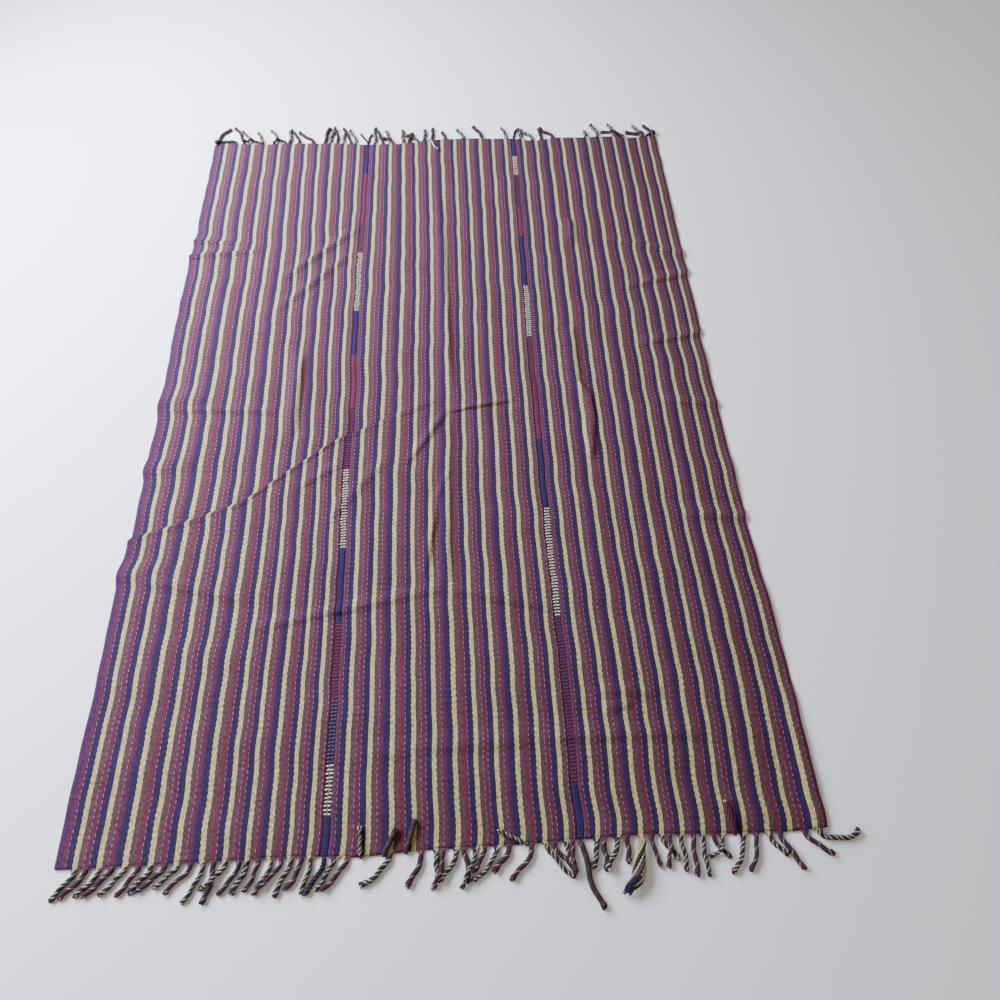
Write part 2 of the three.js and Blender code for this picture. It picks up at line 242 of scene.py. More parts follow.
class Shader:
    """A material's nodes, written as nested calls."""

    def __init__(self, name):
        self.material = bpy.data.materials.new(name)
        self.material.use_nodes = True
        self.tree = self.material.node_tree
        self.tree.nodes.clear()

    def node(self, kind, inputs, **settings):
        made = self.tree.nodes.new(kind)
        for name, value in settings.items():
            setattr(made, name, value)
        for socket, value in inputs.items():
            if isinstance(value, bpy.types.NodeSocket):
                self.tree.links.new(value, made.inputs[socket])
            else:
                made.inputs[socket].default_value = value
        return made

    def math(self, operation, *values):
        return self.node("ShaderNodeMath", dict(enumerate(values)), operation=operation).outputs[0]

    def wave(self, place, length):
        return self.math("SINE", self.math("MULTIPLY", place, 2 * math.pi / length))

    def ramp(self, place, stops):
        made = self.node("ShaderNodeValToRGB", {"Fac": place})
        ramp = made.color_ramp
        ramp.interpolation = "CONSTANT"
        ramp.elements.remove(ramp.elements[1])
        ramp.elements[0].position, ramp.elements[0].color = stops[0]
        for position, color in stops[1:]:
            ramp.elements.new(position).color = color
        return made.outputs["Color"]

    def mix(self, share, first, second):
        """A mix of two colours, by the places of the node's colour sockets."""
        inputs = {"Factor": share, 6: first, 7: second}
        return self.node("ShaderNodeMix", inputs, data_type="RGBA").outputs[2]

    def surface(self, **inputs):
        named = {key.replace("_", " "): value for key, value in inputs.items()}
        shader = self.node("ShaderNodeBsdfPrincipled", named).outputs[0]
        self.node("ShaderNodeOutputMaterial", {"Surface": shader})
        return self.material


# Colours of the yarns
YARNS = {
    "cream": (0.44, 0.355, 0.138, 1),
    "taupe": (0.08, 0.032, 0.038, 1),
    "crimson": (0.098, 0.0105, 0.036, 1),
    "red": (0.11, 0.0115, 0.031, 1),
    "plum": (0.084, 0.0118, 0.039, 1),
    "purple": (0.053, 0.0075, 0.052, 1),
    "navy": (0.0165, 0.0056, 0.043, 1),
    "dash": (0.34, 0.18, 0.26, 1),
    "mauve": (0.11, 0.066, 0.12, 1),
    "blue": (0.0175, 0.0062, 0.068, 1),
    # the seams' crimson: the stripes' crimson yarn drawn lighter, painted light that offsets the shade
    # between the close stitches
    "rose": (0.118, 0.012, 0.047, 1),
    "white": (0.76, 0.7, 0.54, 1),
    "pale": (0.36, 0.32, 0.22, 1),
    # the white yarn darkened: painted shade for the middle of a seam, where the white stitches dive in
    "olive": (0.13, 0.115, 0.08, 1),
    "dark": (0.02, 0.0175, 0.019, 1),
    "maroon": (0.056, 0.015, 0.023, 1),
    "dusk": (0.036, 0.022, 0.03, 1),
    "dun": (0.075, 0.042, 0.048, 1),
}
ROUGHNESS = 0.95

# Three stripe groups in turn, each from the middle of its cream stripe: where each stripe ends, and the
# lines of light dashes
REPEAT = 44
CREAM_HALF = 4.8
GROUPS = [
    [("cream", CREAM_HALF), ("taupe", 16.3), ("crimson", 26.5), ("navy", 39.2)],
    [("cream", CREAM_HALF), ("taupe", 16), ("crimson", 23), ("purple", 27), ("navy", 39.2)],
    [("cream", CREAM_HALF), ("taupe", 16.5), ("red", 26.3), ("navy", 39.2)],
]
DASH_LINES = [(16.3, 26.5), (16,), (26.5,)]
DASH_HALF = 0.5
DASH_PITCH = 12
DASH_SHARE = 0.5
DASH_SLANT = 1.2
# left of a panel's first cream stripe, the yarns past these distances; right of its last one, the stripe at
# this distance goes on to the selvage
LEFT_MARGIN = [("plum", -17.6), ("purple", -27)]
RIGHT_MARGIN = 22
CYCLE = REPEAT * len(GROUPS)
# the cream stripes' toothed edges: which of the two, in each group, then the teeth's pitch and depth, and how
# far from a cream stripe's middle the cloth takes part in them
TOOTHED = [(1, 0), (0, 1), (1, 1)]
TOOTH = 12
TOOTH_DEPTH = 0.65
TOOTH_REACH = 11
CYCLE_START = -TOOTH_REACH  # within a navy stripe
LINE_WIDTH = REPEAT / 4  # the teeth and dashes start at another place in each band of this width
# the weave's ribs across and threads along: their pitch and rise, the dashes' rise, the depth of a rise of 1
# and the strength of the whole relief
RIB_PITCH = 3.1
THREAD_PITCH = 1.4
RIB_RISE = 0.5
THREAD_RISE = 0.3
DASH_RISE = 1.5
WEAVE_DEPTH = 0.3
WEAVE_STRENGTH = 0.6
# painted light and shade of the weave: the colour is lighter on the rises of its ribs and threads and darker
# in their hollows
RIB_PAINTED_SHADING = 0.14  # how much lighter a rise of 1 is, as a share
# the yarns' uneven shade: patches in a metre, how much narrower they are than long, and the range of the
# noise that spreads over the range of shades
MOTTLE_SCALE = 140
MOTTLE_NARROW = 1.6
MOTTLE_DETAIL = 3
MOTTLE_NOISE = (0.25, 0.75)
MOTTLE_SHADES = (0.4, 1.6)


def cycle_share(group, place):
    """A place in a stripe group as a share of the whole cycle of groups."""
    return (group * REPEAT + place - CYCLE_START) / CYCLE


def stripe_place(name, x, y):
    """Where points of a panel lie in the run of stripes, from the middle of its first cream stripe."""
    _, _, first_cream, last_cream = PANELS[name]
    span = last_cream - first_cream
    whole = REPEAT * (CREAMS - 1)
    peak, rows = STRIPE_DRIFT[name]
    share = np.clip((x - first_cream) / span, 0, 1)
    rise, fall = DRIFT_POWER * peak, DRIFT_POWER * (1 - peak)
    bulge = (share / peak) ** rise * ((1 - share) / (1 - peak)) ** fall
    place = (x - at(rows, y) * bulge - first_cream) * whole / span
    return np.minimum(place, whole + RIGHT_MARGIN)


def stripe_stops():
    stops = [(0, YARNS["navy"])]
    for group, stripes in enumerate(GROUPS):
        start = -CREAM_HALF
        for yarn, end in stripes:
            stops.append((cycle_share(group, start), YARNS[yarn]))
            start = end
    return stops


def dash_stops():
    stops = [(0, (0, 0, 0, 1))]
    for group, lines in enumerate(DASH_LINES):
        for line in lines:
            stops.append((cycle_share(group, line - DASH_HALF), (1, 1, 1, 1)))
            stops.append((cycle_share(group, line + DASH_HALF), (0, 0, 0, 1)))
    return stops


def tooth_stops():
    stops = []
    for group, (left, right) in enumerate(TOOTHED):
        for place, share in ((-TOOTH_REACH, left), (0, right), (TOOTH_REACH, 0)):
            stops.append((cycle_share(group, place), (share, share, share, 1)))
    return stops


def cloth_material():
    """Warp stripes with toothed edges, lines of light dashes and a ribbed weave. The UV map "Cloth" is in
    metres, from the middle of a panel's first cream stripe."""
    s = Shader("striped_cloth")
    place = s.node("ShaderNodeUVMap", {}, uv_map="Cloth").outputs["UV"]
    across, along, _ = s.node("ShaderNodeSeparateXYZ", {0: place}).outputs

    def cycle(place):
        return s.math("FRACT", s.math("DIVIDE", s.math("SUBTRACT", place, CYCLE_START * MM), CYCLE * MM))

    line = s.math("FLOOR", s.math("DIVIDE", across, LINE_WIDTH * MM))
    start = s.node("ShaderNodeTexWhiteNoise", {"W": line}, noise_dimensions="1D").outputs["Value"]
    tooth = s.wave(s.math("MULTIPLY_ADD", start, TOOTH * MM, along), TOOTH * MM)
    deep = s.math("MULTIPLY", s.ramp(cycle(across), tooth_stops()), TOOTH_DEPTH * MM)
    stripes = s.ramp(cycle(s.math("MULTIPLY_ADD", tooth, deep, across)), stripe_stops())
    for yarn, start_place in LEFT_MARGIN:
        stripes = s.mix(s.math("LESS_THAN", across, start_place * MM), stripes, YARNS[yarn])

    dash = s.math("FRACT", s.math("MULTIPLY_ADD", along, 1 / (DASH_PITCH * MM), start))
    centred = s.math("SUBTRACT", across, DASH_SLANT * DASH_SHARE / 2 * MM)
    slanted = s.math("MULTIPLY_ADD", dash, DASH_SLANT * MM, centred)
    drawn = s.math("LESS_THAN", dash, DASH_SHARE)
    dashes = s.math("MULTIPLY", s.ramp(cycle(slanted), dash_stops()), drawn)
    colored = s.mix(dashes, stripes, YARNS["dash"])

    threads = s.math("MULTIPLY", s.wave(across, THREAD_PITCH * MM), THREAD_RISE)
    ribs = s.math("MULTIPLY_ADD", s.wave(along, RIB_PITCH * MM), RIB_RISE, threads)
    patches = s.node("ShaderNodeCombineXYZ", {0: s.math("MULTIPLY", across, MOTTLE_NARROW), 1: along})
    noise = {"Vector": patches.outputs[0], "Scale": MOTTLE_SCALE, "Detail": MOTTLE_DETAIL}
    spread = {"Value": s.node("ShaderNodeTexNoise", noise).outputs["Fac"]}
    spread["From Min"], spread["From Max"] = MOTTLE_NOISE
    spread["To Min"], spread["To Max"] = MOTTLE_SHADES
    mottle = s.node("ShaderNodeMapRange", spread).outputs[0]
    # the yarns' uneven dyeing, with painted light on the weave's rises and painted shade in its hollows
    shade = s.math("MULTIPLY_ADD", ribs, RIB_PAINTED_SHADING, mottle)
    color = s.node("ShaderNodeVectorMath", {0: colored, 1: shade}, operation="MULTIPLY").outputs[0]

    relief = s.math("ADD", ribs, s.math("MULTIPLY", dashes, DASH_RISE))
    bump = {"Height": relief, "Strength": WEAVE_STRENGTH, "Distance": WEAVE_DEPTH * MM}
    normal = s.node("ShaderNodeBump", bump).outputs[0]
    return s.surface(Base_Color=color, Roughness=ROUGHNESS, Normal=normal)


def yarn_material(yarn):
    return Shader(f"{yarn}_yarn").surface(Base_Color=YARNS[yarn], Roughness=ROUGHNESS)


CLOTH = cloth_material()
YARN_MATERIALS = {yarn: yarn_material(yarn) for yarn in YARNS}


def piece(name, points, faces, materials, slot, *stands_for):
    """A mesh of the object, its points in the cloth's own frame, standing for these solids."""
    mesh = bpy.data.meshes.new(name)
    mesh.from_pydata(np.asarray(points) * MM + OFFSET, [], faces)
    for material in materials:
        mesh.materials.append(material)
    mesh.shade_smooth()
    made = bpy.data.objects.new(name, mesh)
    bpy.context.scene.collection.objects.link(made)
    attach(made, "root")
    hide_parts(*stands_for)
    return made


# The panels
PANEL_COLUMNS = 92
FOLD_ROWS = (-16, 11)  # the rows are close together between these, from the main fold's crest
ROW_CELLS = (152, 24, 272)  # the cells along, before, between and beyond these


def panel_rows(x):
    """The places along the cloth of a panel's rows of points, for each place across it."""
    crest = at(MAIN_FOLD, x)
    far_end = np.full_like(x, LENGTH / 2)
    marks = [-far_end, crest + FOLD_ROWS[0], crest + FOLD_ROWS[1], far_end]
    rows = [
        start + (stop - start) * np.linspace(0, 1, cells, endpoint=False)[:, None]
        for start, stop, cells in zip(marks, marks[1:], ROW_CELLS)
    ]
    return np.concatenate([*rows, far_end[None]])


def panel(name):
    first, last, _, _ = PANELS[name]
    x = np.linspace(first, last, PANEL_COLUMNS + 1)
    y = panel_rows(x)
    x = np.broadcast_to(x, y.shape)
    under = lying(x, y)
    over = under + (0, 0, THICKNESS)
    count, (rows, columns) = y.size, y.shape
    index = np.arange(count).reshape(rows, columns)
    cells = np.stack([index[:-1, :-1], index[:-1, 1:], index[1:, 1:], index[1:, :-1]], -1).reshape(-1, 4)
    rim = np.concatenate([index[0, :-1], index[:-1, -1], index[-1, :0:-1], index[:0:-1, 0]])
    onward = np.roll(rim, -1)
    sides = np.stack([rim + count, onward + count, onward, rim], -1)
    faces = np.concatenate([cells, cells[:, ::-1] + count, sides])
    made = piece(
        f"{name}_panel", np.concatenate([over.reshape(-1, 3), under.reshape(-1, 3)]), faces, [CLOTH],
        "cloth", f"panel_{name}",
    )
    place = np.stack([stripe_place(name, x, y), y], -1) * MM
    add_map(made, "Cloth", np.concatenate([place.reshape(-1, 2)] * 2)[faces])
    add_map(made, "OFBake", bake_places(x, y, cells, len(rim)))


def add_map(made, name, corners):
    layer = made.data.uv_layers.new(name=name)
    layer.data.foreach_set("uv", np.asarray(corners, np.float32).ravel())


BAKE_HALF = 0.485  # the share of the bake's width for each face of the cloth; the rim has the rest
BAKE_GAP = 0.005  # between the faces, and between them and the rim


def bake_places(x, y, cells, rim_cells):
    """Corners for baking: the upper face, the underside beside it, then the rim in a narrow column."""
    across = (x - x.min()) / np.ptp(x) * BAKE_HALF
    along = y / LENGTH + 0.5
    upper = np.stack([across, along], -1).reshape(-1, 2)
    shift = BAKE_HALF + BAKE_GAP
    mark = np.linspace(0, 1, rim_cells + 1)
    low, high = np.full(rim_cells, 2 * shift), np.ones(rim_cells)
    here, there = mark[:-1], mark[1:]
    corners = [(low, here), (low, there), (high, there), (high, here)]
    rim = np.stack([np.stack(corner, -1) for corner in corners], 1)
    return np.concatenate([upper[cells], (upper + (shift, 0))[cells[:, ::-1]], rim])


ON_FLOOR = 0.1  # the lowest that a yarn lies
TUBE_SIDES = 6


class Pile:
    """Many small yarn shapes gathered into one mesh, none of them sunk into the floor."""

    def __init__(self):
        self.points, self.faces, self.yarns, self.count = [], [], [], 0

    def add(self, points, faces, yarns):
        points[:, 2] = np.maximum(points[:, 2], ON_FLOOR)
        self.points.append(points)
        self.faces.extend([[corner + self.count for corner in face] for face in faces])
        self.yarns.extend(yarns)
        self.count += len(points)

    def tube(self, path, radius, yarn, sides=TUBE_SIDES, flat=1.0):
        """A closed tube along a path; flat is its height as a share of its width."""
        path = np.asarray(path, float)
        radius = np.broadcast_to(radius, len(path))
        ahead = np.gradient(path, axis=0)
        ahead /= np.linalg.norm(ahead, axis=1)[:, None]
        aside = np.cross(ahead, (0, 0, 1))
        aside /= np.linalg.norm(aside, axis=1)[:, None]
        up = np.cross(aside, ahead)
        turn = np.arange(sides) * 2 * math.pi / sides
        ring = np.cos(turn)[None, :, None] * aside[:, None] + flat * np.sin(turn)[None, :, None] * up[:, None]
        points = (path[:, None] + radius[:, None, None] * ring).reshape(-1, 3)
        index = np.arange(len(points)).reshape(len(path), sides)
        beside = np.roll(index, -1, axis=1)
        faces = np.stack([index[:-1], beside[:-1], beside[1:], index[1:]], -1).reshape(-1, 4).tolist()
        faces += [index[0, ::-1].tolist(), index[-1].tolist()]
        self.add(points, faces, [yarn] * len(faces))

    def finish(self, name, slot, *stands_for):
        used = sorted(set(self.yarns))
        made = piece(
            name, np.concatenate(self.points), self.faces, [YARN_MATERIALS[yarn] for yarn in used], slot,
            *stands_for,
        )
        indices = {yarn: i for i, yarn in enumerate(used)}
        made.data.polygons.foreach_set("material_index", [indices[yarn] for yarn in self.yarns])


# Cords
CORD_RADII = {"bottom": 4.9, "top": 5.4}
CORD_PITCH = 23
RING_STEP = 1.5
UNEVEN = 0.14  # uneven thickness from cord to cord, as a share
PLIES = {
    "pied": ("pale", "dark", "pale", "dark", "dusk"),
    "maroon": ("maroon", "maroon", "dash", "maroon", "dusk"),
    "dusky": ("dusk", "maroon", "dusk", "dun", "maroon"),
    "tuft": ("maroon", "crimson", "maroon", "red", "maroon", "crimson", "maroon"),
    "loose": ("white", "pale", "dun"),
    "joining": ("navy", "maroon", "dark"),
    "lock": ("pale", "dark", "cream", "pale", "dun", "pale", "dark", "cream", "pale"),
    "lock_end": ("navy", "dusk", "navy", "navy", "dusk", "navy", "dark"),
}
# plies that show as flecks: their thickness, as a share; it swells and thins with this pitch, by this share
FLECKS = {"pale": 0.8, "dash": 0.6}
FLECK_PITCH = 7
FLECK_SWELL = 0.35

# The cords of each end and kind, by their roots: lean from straight out and further turn along the cord,
# in degrees towards +x, and length
CORDS = {
    ("bottom", "pied"): [
        (-709, -36, -8, 62), (-661, -40, -8, 60), (-613, -42, -6, 62), (-565, -44, 0, 57),
        (-513, -51, 0, 58), (-470, -2, -46, 74), (-425, -24, -42, 64), (-384, -18, -18, 60),
        (-339, -20, -18, 66), (-301, -24, -6, 68), (-264, -4, -22, 62), (-218, -22, -20, 62),
        (-110, -34, -30, 76), (-24, 4, 0, 48), (18, -26, -20, 64), (51, -12, -24, 72), (98, -30, -26, 78),
        (188, 34, 16, 80), (227, 15, 0, 38), (292, -10, -8, 50), (332, -20, -18, 60), (418, 30, 14, 52),
        (456, 10, -12, 63), (498, -2, 4, 70), (539, 0, -80, 56), (582, -14, -26, 74), (631, 22, 34, 48),
        (728, 56, 66, 92),
    ],
    ("bottom", "maroon"): [
        (-686, -44, -4, 64), (-638, -46, -4, 66), (-588, -38, 0, 60), (-538, -48, -8, 63),
        (-490, -50, 2, 66), (-448, 6, -30, 70), (-401, -12, -42, 66), (-361, -18, -12, 58),
        (-319, -20, -44, 66), (-280, -2, -48, 60), (-192, -34, -18, 70), (-51, -14, -26, 64),
        (-8, -8, -18, 68), (30, 28, -34, 56), (71, -22, -16, 46), (119, -34, -16, 52), (163, -28, -26, 74),
        (205, 40, 6, 66), (240, 0, 0, 54), (305, 4, -6, 54), (350, 4, -10, 44), (400, -8, 36, 56),
        (433, -4, -14, 57), (480, -4, 4, 70), (517, 28, 18, 50), (607, -6, -28, 68), (652, 30, 2, 73),
        (702, 38, 26, 64),
    ],
    ("top", "pied"): [
        (-628, -10, -40, 78), (-588, -14, -14, 66), (-537, -10, -24, 78), (-503, 14, -30, 70),
        (-362, 4, 6, 74), (-318, 2, -2, 74), (-277, -14, -14, 78), (-214, -2, -2, 80), (-163, -2, -22, 66),
        (-118, -2, -2, 68), (-46, 2, 4, 56), (88, -24, -12, 52), (236, -12, -8, 54), (285, 2, -14, 44),
        (326, -24, -40, 62), (513, -30, 40, 26), (552, -10, -16, 66), (606, -2, -14, 66),
        (703, -20, -8, 66),
    ],
    ("top", "dusky"): [
        (-740, -6, 54, 92), (-676, -72, -50, 74), (-650, -18, -14, 98), (-594, -48, -74, 68),
        (-510, -42, -84, 54), (-470, -2, -44, 74), (-420, -48, -2, 78), (-383, 0, 14, 80),
        (-340, -2, -14, 82), (-292, -14, -16, 78), (-186, -8, -20, 82), (-148, -42, -20, 46),
        (-98, 16, 0, 50), (-66, -40, -22, 52), (-20, 2, 2, 62), (25, -16, -6, 38), (150, -18, -16, 66),
        (353, 2, -14, 56), (396, -40, -22, 60), (620, -46, -40, 62), (644, -48, -34, 48),
        (710, -66, -18, 66), (719, 56, 4, 40), (741, 0, -46, 66),
    ],
}
# cords folded back over the cloth: end, root, reach from the edge and sideways, radius, plies and pitch
FOLDED_BACK = [
    ("bottom", -167, 50, -4, 4.6, "pied", 19), ("bottom", -124, 40, 22, 4.6, "dusky", 19),
    ("bottom", -81, 52, 16, 4.6, "dusky", 19), ("bottom", 152, 26, -52, 4.6, "pied", 19),
    ("bottom", 562, 58, -8, 8.4, "tuft", 120), ("top", -30, 58, 30, 4.2, "loose", 60),
]
# a cord that has come untwisted, in two parts: end, root, lean, turn, length, radius, plies, and the share
# of the length where the part starts
LOCKS = [
    ("bottom", 380, -4, -32, 104, 12, "lock", 0), ("bottom", 382, 4, -62, 116, 9, "lock_end", 0.5),
]
LOCK_PITCH = 130
# the kinds that swell in the middle and taper to both ends: their height as a share of their width, how
# thick the ends are, as a share, and the power that moves the thickest place towards the tip
LOOSE = ("tuft", "lock", "lock_end")
LOOSE_FLAT = 0.55
LOOSE_ENDS = 0.45
LOOSE_POWER = 1.5
# other cords are drawn in at the cloth and swell at the tip by these shares, over this length
NECK_THIN = 0.35
TIP_SWELL = 0.25
SWELL_RUN = 8
# the tails of each seam: lean, turn, length, radius, plies
SEAM_TAILS = {
    ("left", "bottom"): [(-14, -34, 70, 5.4, "joining")],
    ("left", "top"): [(-24, -10, 62, 3.8, "joining"), (8, 8, 54, 3.8, "joining")],
    ("right", "bottom"): [(3, 22, 120, 6.5, "dusky")],
    ("right", "top"): [(4, 30, 60, 3.8, "joining")],
}
TAIL_PITCH = 22
# two numbers that scatter the seeds, and how many seeds make one turn of a cord's plies
SCATTER_RATE = 12.9898
SCATTER_GAIN = 43758.5453
SEEDS_IN_TURN = 7


def uneven(seed):
    """An even spread of numbers from -1 to 1, the same on each run."""
    wave = math.sin(seed * SCATTER_RATE) * SCATTER_GAIN
    return 2 * (wave - math.floor(wave)) - 1


# A cord leaves the cloth with its lean less by this share, which comes back over this share of its length.
# It comes down to the floor over this length, and swings to and fro by these degrees, so many times
ROOT_STRAIGHT = 0.6
ROOT_SHARE = 0.35
COMES_DOWN = 14
WOBBLE = 11
WOBBLES = 1.4


def lying_path(x, outward, lean, turn, length, radius):
    """The middle line of a cord that lies on the floor, from the cloth's edge."""
    root = lying(x, outward * LENGTH / 2)
    count = int(length / RING_STEP)
    share = (np.arange(count) + 0.5) / count
    wobble = WOBBLE * np.sin(2 * math.pi * WOBBLES * share + x)
    leaning = lean * (1 - ROOT_STRAIGHT * round_top(share / ROOT_SHARE))
    heading = np.radians(leaning + turn * share + wobble)
    step = length / count
    height = radius + (root[2] + THICKNESS / 2 - radius) * round_top(share * length / COMES_DOWN)
    aside = np.cumsum(np.sin(heading)) * step
    out = np.cumsum(np.cos(heading)) * step
    return np.stack([root[0] + aside, root[1] + outward * out, height], -1)


OVER_NEAR = 13  # a cord starts to rise this far from one that it crosses
OVER_LIFT = 8.4  # and is this much higher over it


def lift_over(path, others):
    """Lift a cord where it lies across the cords laid before it."""
    if others:
        apart = path[:, None, :2] - np.concatenate(others)[None, :, :2]
        near = np.linalg.norm(apart, axis=-1).min(1) / OVER_NEAR
        path[:, 2] += OVER_LIFT * round_top(near)
    others.append(path)
    return path


# A folded-back cord starts this far out from the cloth's edge and lies this far over the cloth. Its start is
# lower by this much, which it climbs over this length
TURN_OUT = 4
TURN_OVER = 0.4
TURN_LOW = 4
TURN_RUN = 9


def folded_path(x, outward, reach, aside, radius):
    """The middle line of a cord that turns back at the cloth's edge to lie on the cloth."""
    root = lying(x, outward * LENGTH / 2)
    back = np.linspace(-TURN_OUT, reach, int(math.hypot(reach + TURN_OUT, aside) / RING_STEP))
    climb = TURN_LOW * round_top((back + TURN_OUT) / TURN_RUN)
    height = root[2] + THICKNESS + radius + TURN_OVER - climb
    return np.stack([
        root[0] + aside * np.maximum(back, 0) / reach, root[1] - outward * back, height,
    ], -1)


def twist(pile, path, kind, radius, pitch, seed):
    """Plies wound side by side round a path, drawn in where they leave the cloth, with a blunt brush of
    loose ends at the tip."""
    yarns = PLIES[kind]
    radius = radius * (1 + UNEVEN * uneven(seed))
    ply = radius / (1 + 1 / math.sin(math.pi / len(yarns)))
    ahead = np.gradient(path, axis=0)
    run = np.linalg.norm(ahead, axis=1)
    ahead /= run[:, None]
    gone = np.cumsum(run)
    aside = np.stack([-ahead[:, 1], ahead[:, 0], np.zeros(len(path))], -1)
    up = np.array((0, 0, LOOSE_FLAT if kind in LOOSE else 1))
    if kind in LOOSE:
        swell = LOOSE_ENDS + (1 - LOOSE_ENDS) * np.sin(math.pi * (gone / gone[-1]) ** LOOSE_POWER)
    else:
        neck = NECK_THIN * round_top(gone / SWELL_RUN)
        tip = TIP_SWELL * round_top((gone[-1] - gone) / SWELL_RUN)
        swell = 1 - neck + tip
    for n, yarn in enumerate(yarns):
        turn = 2 * math.pi * (gone / pitch + n / len(yarns) + seed / SEEDS_IN_TURN)
        wound = np.cos(turn)[:, None] * aside + np.sin(turn)[:, None] * up
        thick = ply * swell
        if yarn in FLECKS:
            fleck = FLECK_SWELL * np.sin(2 * math.pi * gone / FLECK_PITCH + n + seed)
            thick = thick * FLECKS[yarn] * (1 + fleck)
        pile.tube(path + ((radius - ply) * swell)[:, None] * wound, thick, yarn)
    brush(pile, path[-1], ahead[-1], aside[-1], yarns, radius * min(swell[-1], 1), seed)


BRUSH_ENDS = 9
BRUSH_BACK = 2  # the ends start this far back in the cord
BRUSH_FLARE = 0.12  # and spread further by this share of their length
# as shares of the cord's radius: how far apart the ends start, sideways and up, their length and how uneven
# it is, how far they sag, and their thickness from start to tip
BRUSH_ASIDE = 0.62
BRUSH_UP = 0.6
BRUSH_LENGTH = 1.3
BRUSH_UNEVEN = 0.4
BRUSH_SAG = 0.2
BRUSH_THICK = (0.4, 0.45, 0.3)
BRUSH_SIDES = 5
# added to a seed, so that an end's height and length aren't drawn alike
UP_SEED = 50
LENGTH_SEED = 90
TIPS = ("crimson", "dusk", "navy", "maroon", "pale", "dun")  # one of these for every other end of a brush


def brush(pile, tip, ahead, aside, yarns, radius, seed):
    """A short tuft of loose thread ends at a cord's tip."""
    for n in range(BRUSH_ENDS):
        out = uneven(seed + n)
        start = tip - BRUSH_BACK * ahead + BRUSH_ASIDE * radius * out * aside
        start[2] += BRUSH_UP * radius * uneven(seed + n + UP_SEED)
        length = BRUSH_LENGTH + BRUSH_UNEVEN * uneven(seed + n + LENGTH_SEED)
        end = start + (ahead + BRUSH_FLARE * out * aside) * radius * length
        end[2] -= BRUSH_SAG * radius
        thick = radius * np.array(BRUSH_THICK)
        yarn = yarns[n % len(yarns)] if n % 2 else TIPS[int(seed) % len(TIPS)]
        pile.tube([start, (start + end) / 2, end], thick, yarn, BRUSH_SIDES)


def stripe_yarn(name, x, y):
    """The yarn of a panel's stripe at one place."""
    place = float(stripe_place(name, x, y))
    margin = [yarn for yarn, start in LEFT_MARGIN if place < start]
    if margin:
        return margin[-1]
    group = math.floor((place + CREAM_HALF) / REPEAT)
    stripes = GROUPS[group % len(GROUPS)]
    return next((yarn for yarn, end in stripes if place - group * REPEAT < end), "navy")


# The threads of this much cloth, each way, gather into a cord. They leave the cloth this far in from its
# edge and this far over it, reach the cord this far along it, and narrow the faster the higher this power.
# At the cord they are this wide, as a share of it, and rounded by this much
TONGUE_HALF = 11
TONGUE_LAP = 2
TONGUE_OVER = 0.15
NECK = 11
NARROWING = 2.6
NECK_WIDTH = 0.75
NECK_ROUND = 0.9
TONGUE_CELLS = (8, 6)  # across and along


def tongue(pile, name, x0, x1, path, radius, outward):
    """The warp ends gathered from the cloth's edge between two places into the start of a cord."""
    columns, rows = TONGUE_CELLS
    end = outward * LENGTH / 2
    across = np.linspace(x0, x1, columns + 1)
    edge = lying(across, end) - (0, outward * TONGUE_LAP, 0)
    neck = path[min(len(path) - 1, int(NECK / RING_STEP))]
    turn = np.linspace(-1, 1, columns + 1)
    rounded = neck[2] + radius * np.sqrt(1 - NECK_ROUND * turn**2)
    points = []
    for share in np.linspace(0, 1, rows + 1):
        narrow = 1 - (1 - share) ** NARROWING
        x = edge[:, 0] * (1 - narrow) + (neck[0] + radius * turn) * narrow
        y = edge[:, 1] * (1 - share) + neck[1] * share
        z = (edge[:, 2] + THICKNESS + TONGUE_OVER) * (1 - share) + rounded * share
        points.append(np.stack([x, y, z], -1))
    points = np.concatenate(points)
    index = np.arange(len(points)).reshape(rows + 1, columns + 1)
    order = [index[:-1, :-1], index[:-1, 1:], index[1:, 1:], index[1:, :-1]]
    faces = np.stack(order if outward > 0 else order[::-1], -1).reshape(-1, 4).tolist()
    yarns = [stripe_yarn(name, (a + b) / 2, end) for a, b in zip(across, across[1:])] * rows
    pile.add(points, faces, yarns)


Cord = namedtuple("Cord", "x lean turn length radius kind start pitch")


def lying_cords(end, name):
    """The cords that lie on the floor at one end of a panel, in order across."""
    first, last, _, _ = PANELS[name]
    cords = [
        Cord(x, lean, turn, length, CORD_RADII[end], kind, 0, CORD_PITCH)
        for (at_end, kind), rows in CORDS.items() if at_end == end
        for x, lean, turn, length in rows
    ]
    cords += [Cord(x, *lay, LOCK_PITCH) for at_end, x, *lay in LOCKS if at_end == end]
    return sorted(cord for cord in cords if first < cord.x < last)


def fringe(end, name):
    pile = Pile()
    outward = OUTWARD[end]
    first, last, _, _ = PANELS[name]
    cords = lying_cords(end, name)
    roots = [cord.x for cord in cords if cord.start == 0]
    beside = [2 * first - roots[0], *roots, 2 * last - roots[-1]]
    halfway = {x: ((before + x) / 2, (x + after) / 2) for before, x, after in zip(beside, roots, beside[2:])}
    laid = []
    for cord in cords:
        path = lying_path(cord.x, outward, cord.lean, cord.turn, cord.length, cord.radius)
        path = lift_over(path, laid)
        twist(pile, path[int(cord.start * len(path)):], cord.kind, cord.radius, cord.pitch, cord.x)
        if cord.x in halfway:
            before, after = halfway[cord.x]
            x0 = max(cord.x - TONGUE_HALF, before)
            x1 = min(cord.x + TONGUE_HALF, after)
            tongue(pile, name, x0, x1, path, NECK_WIDTH * min(cord.radius, CORD_RADII[end]), outward)
    for at_end, x, reach, aside, radius, kind, pitch in FOLDED_BACK:
        if at_end == end and first < x < last:
            twist(pile, folded_path(x, outward, reach, aside, radius), kind, radius, pitch, x)
    pile.finish(f"{end}_{name}_fringe", "fringe_yarn", f"fringe_{end}_{name}")
